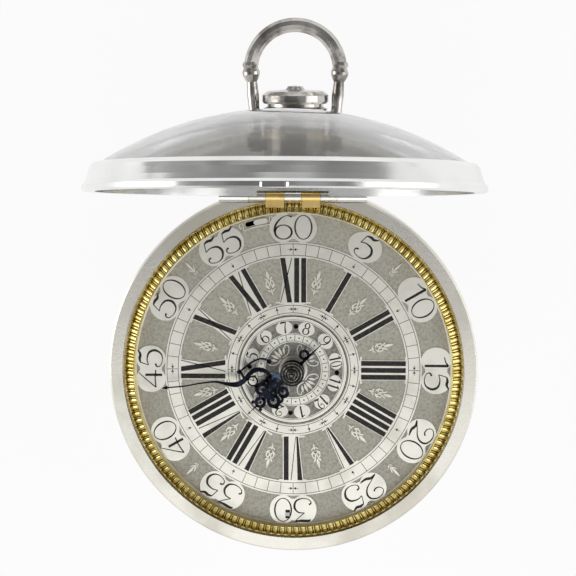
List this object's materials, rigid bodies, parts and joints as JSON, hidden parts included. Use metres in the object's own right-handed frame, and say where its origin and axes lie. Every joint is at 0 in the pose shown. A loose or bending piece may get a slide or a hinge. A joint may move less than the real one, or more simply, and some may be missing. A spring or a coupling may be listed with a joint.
{
  "type": "coach clock",
  "caption": "Round silver coach clock with a hinged glazed lid, fluted gilt ring, raised chapter dial, alarm disc, verge movement that swings out, bell and stirrup bow.",
  "frame": {"origin": "centre of the flat on the case back, on which the clock lies", "axes": "+Z out of the dial, +Y towards 12 o'clock, the hinge and the pendant, +X towards 3 o'clock; at rest the lid stands open by 96 degrees"},
  "size_m": [0.12, 0.1739, 0.1654],
  "materials": {
    "silver": "polished silver",
    "dial_silver": "engraved silver",
    "bezel_silver": "polished silver",
    "gilt": "fire gilt brass",
    "brass": "brushed brass",
    "steel": "polished steel",
    "blued_steel": "blued steel",
    "bell_metal": "bell metal",
    "crystal": "domed glass"
  },
  "bodies": {
    "case": {"case_body": "silver", "case_band": "silver", "case_rim": "silver", "case_knuckles": "silver", "hinge_pin": "steel", "pendant": "silver", "bow_screws": "steel", "bell": "bell_metal", "bell_stud": "brass", "bell_nut": "steel"},
    "lid": {"bezel": "bezel_silver", "bezel_knuckles": "bezel_silver", "glass": "crystal"},
    "bow": {"bow": "silver"},
    "movement": {"dial_ring": "gilt", "movement_knuckles": "gilt", "dial_plate": "dial_silver", "brass_edge": "gilt", "front_plate": "gilt", "back_plate": "gilt", "pillars": "gilt", "potence": "gilt", "counter_potence": "gilt", "balance_cock": "gilt", "cock_screw": "steel", "barrel_arbor": "steel", "minute_wheel_stud": "steel", "latch_keeper": "brass", "alarm_barrel_arbor": "steel", "balance_spring": "blued_steel"},
    "fusee": {"fusee": "brass", "great_wheel": "brass", "fusee_arbor": "steel"},
    "barrel": {"mainspring_barrel": "brass"},
    "centre": {"centre_arbor": "steel", "centre_wheel": "brass"},
    "third": {"third_arbor": "steel", "third_wheel": "brass"},
    "contrate": {"contrate_arbor": "steel", "contrate_wheel": "brass"},
    "crown": {"crown_arbor": "steel", "crown_wheel": "brass"},
    "balance": {"balance_wheel": "steel", "verge": "steel"},
    "minute": {"cannon_pinion": "steel", "minute_hand": "blued_steel", "hand_boss": "steel"},
    "minute_wheel": {"minute_wheel": "brass"},
    "hour": {"hour_wheel": "brass", "hour_hand": "blued_steel"},
    "alarm_disc": {"alarm_disc": "dial_silver"},
    "slider": {"alarm_slider": "dial_silver"},
    "latch": {"movement_latch": "steel"},
    "hammer": {"alarm_hammer": "steel"},
    "alarm_barrel": {"alarm_barrel": "brass"},
    "regulator": {"regulator_disc": "dial_silver"}
  },
  "joints": [
    {"name": "lid_hinge", "type": "hinge", "parent": "case", "child": "lid", "pos_m": [0, 0.0567, 0.048], "axis": [1, 0, 0], "range_deg": [0, 96]},
    {"name": "movement_swing", "type": "hinge", "parent": "case", "child": "movement", "pos_m": [0, 0.0567, 0.048], "axis": [1, 0, 0], "range_deg": [-80, 0]},
    {"name": "bow_pivot", "type": "hinge", "parent": "case", "child": "bow", "pos_m": [0, 0.0757, 0.03], "axis": [1, 0, 0], "range_deg": [-90, 60]},
    {"name": "contrate_turn", "type": "hinge", "parent": "movement", "child": "contrate", "pos_m": [0.00374, -0.01993, 0.025], "axis": [0, 0, 1], "continuous": true},
    {"name": "crown_turn", "type": "hinge", "parent": "movement", "child": "crown", "pos_m": [-0.00826, -0.01993, 0.0215], "axis": [1, 0, 0], "continuous": true},
    {"name": "third_turn", "type": "hinge", "parent": "movement", "child": "third", "pos_m": [0.01393, -0.00975, 0.03], "axis": [0, 0, 1], "continuous": true},
    {"name": "centre_turn", "type": "hinge", "parent": "movement", "child": "centre", "pos_m": [0, 0, 0.03], "axis": [0, 0, 1], "continuous": true},
    {"name": "fusee_turn", "type": "hinge", "parent": "movement", "child": "fusee", "pos_m": [-0.01871, 0.0108, 0.025], "axis": [0, 0, 1], "continuous": true},
    {"name": "barrel_turn", "type": "hinge", "parent": "movement", "child": "barrel", "pos_m": [0.0125, 0.02165, 0.025], "axis": [0, 0, 1], "continuous": true},
    {"name": "balance_swing", "type": "hinge", "parent": "movement", "child": "balance", "pos_m": [-0.01616, -0.01993, 0.011], "axis": [0, 0, 1], "range_deg": [-50, 50]},
    {"name": "minute_turn", "type": "hinge", "parent": "movement", "child": "minute", "pos_m": [0, 0, 0.05], "axis": [0, 0, 1], "continuous": true},
    {"name": "minute_wheel_turn", "type": "hinge", "parent": "movement", "child": "minute_wheel", "pos_m": [0.006, -0.01039, 0.042], "axis": [0, 0, 1], "continuous": true},
    {"name": "hour_turn", "type": "hinge", "parent": "movement", "child": "hour", "pos_m": [0, 0, 0.044], "axis": [0, 0, 1], "continuous": true},
    {"name": "alarm_set", "type": "hinge", "parent": "hour", "child": "alarm_disc", "pos_m": [0, 0, 0.046], "axis": [0, 0, 1], "continuous": true},
    {"name": "alarm_slider_move", "type": "hinge", "parent": "movement", "child": "slider", "pos_m": [0, 0, 0.046], "axis": [0, 0, 1], "range_deg": [0, 3]},
    {"name": "latch_slide", "type": "slide", "parent": "movement", "child": "latch", "axis": [0, -1, 0], "range_m": [0, 0.0007]},
    {"name": "hammer_swing", "type": "hinge", "parent": "movement", "child": "hammer", "pos_m": [-0.0033, 0.037, 0.021], "axis": [0, 0, 1], "range_deg": [0, 12]},
    {"name": "alarm_barrel_turn", "type": "hinge", "parent": "movement", "child": "alarm_barrel", "pos_m": [0.032, 0.003, 0.025], "axis": [0, 0, 1], "continuous": true},
    {"name": "regulator_turn", "type": "hinge", "parent": "movement", "child": "regulator", "pos_m": [0.014, -0.024, 0.0135], "axis": [0, 0, 1], "continuous": true}
  ],
  "couplings": [
    {"joint": "crown_turn", "follows": "contrate_turn", "ratio": 6},
    {"joint": "third_turn", "follows": "contrate_turn", "ratio": -0.14286},
    {"joint": "centre_turn", "follows": "contrate_turn", "ratio": 0.019048},
    {"joint": "fusee_turn", "follows": "contrate_turn", "ratio": -0.0038095},
    {"joint": "barrel_turn", "follows": "contrate_turn", "ratio": -0.0025397},
    {"joint": "minute_wheel_turn", "follows": "minute_turn", "ratio": -0.33333},
    {"joint": "hour_turn", "follows": "minute_turn", "ratio": 0.083333}
  ]
}
